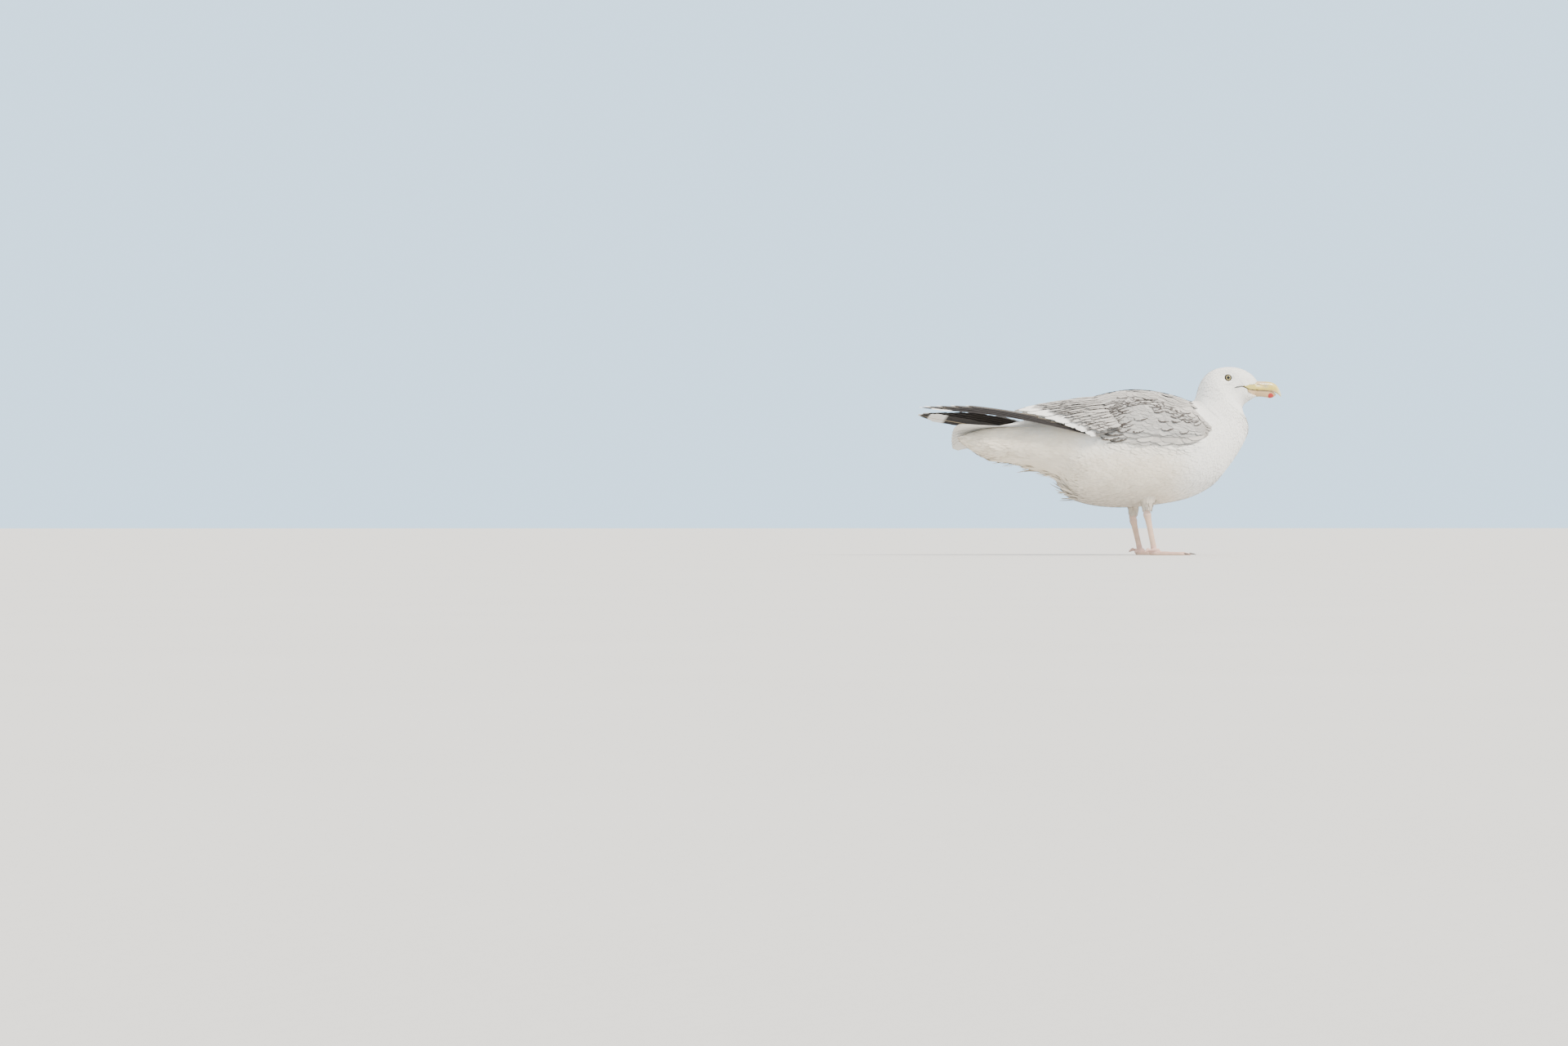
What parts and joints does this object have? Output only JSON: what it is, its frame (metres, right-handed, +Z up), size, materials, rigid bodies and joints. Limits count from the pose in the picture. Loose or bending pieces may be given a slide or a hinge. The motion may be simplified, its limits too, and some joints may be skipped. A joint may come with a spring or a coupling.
{
  "type": "herring gull",
  "caption": "Life-size still model of an adult herring gull standing at rest in profile, wings folded, with a grey back, black wing tips and a yellow bill with a red spot.",
  "frame": {"origin": "on the floor, under the middle of the bird's length and width", "axes": "+X is the way the bird faces, +Y is its left side, +Z is up"},
  "size_m": [0.5318, 0.1492, 0.2705],
  "materials": {
    "bill_horn": "satin",
    "black_plumage": "satin",
    "claw_horn": "satin",
    "eye": "gloss",
    "grey_plumage": "matte",
    "leg_skin": "satin",
    "loose_plumage": "matte",
    "white_plumage": "matte"
  },
  "bodies": {
    "root": {"bill_lower": "bill_horn", "bill_upper": "bill_horn", "claw_left_inner": "claw_horn", "claw_left_middle": "claw_horn", "claw_left_outer": "claw_horn", "claw_right_inner": "claw_horn", "claw_right_middle": "claw_horn", "claw_right_outer": "claw_horn", "eye_left": "eye", "eye_right": "eye", "foot_left": "leg_skin", "foot_right": "leg_skin", "greater_coverts_left": "grey_plumage", "greater_coverts_right": "grey_plumage", "head": "white_plumage", "hind_toe_left": "leg_skin", "hind_toe_right": "leg_skin", "neck": "white_plumage", "primary_left_10": "black_plumage", "primary_left_6": "black_plumage", "primary_left_7": "black_plumage", "primary_left_8": "black_plumage", "primary_left_9": "black_plumage", "primary_right_10": "black_plumage", "primary_right_6": "black_plumage", "primary_right_7": "black_plumage", "primary_right_8": "black_plumage", "primary_right_9": "black_plumage", "rump": "loose_plumage", "scapulars_left": "grey_plumage", "scapulars_right": "grey_plumage", "tail": "loose_plumage", "tarsus_left": "leg_skin", "tarsus_right": "leg_skin", "tertial_left_1": "grey_plumage", "tertial_left_2": "grey_plumage", "tertial_left_3": "grey_plumage", "tertial_left_4": "grey_plumage", "tertial_right_1": "grey_plumage", "tertial_right_2": "grey_plumage", "tertial_right_3": "grey_plumage", "tertial_right_4": "grey_plumage", "tibia_left": "leg_skin", "tibia_right": "leg_skin", "trunk": "white_plumage", "wing_coverts_left": "grey_plumage", "wing_coverts_right": "grey_plumage"}
  },
  "joints": []
}
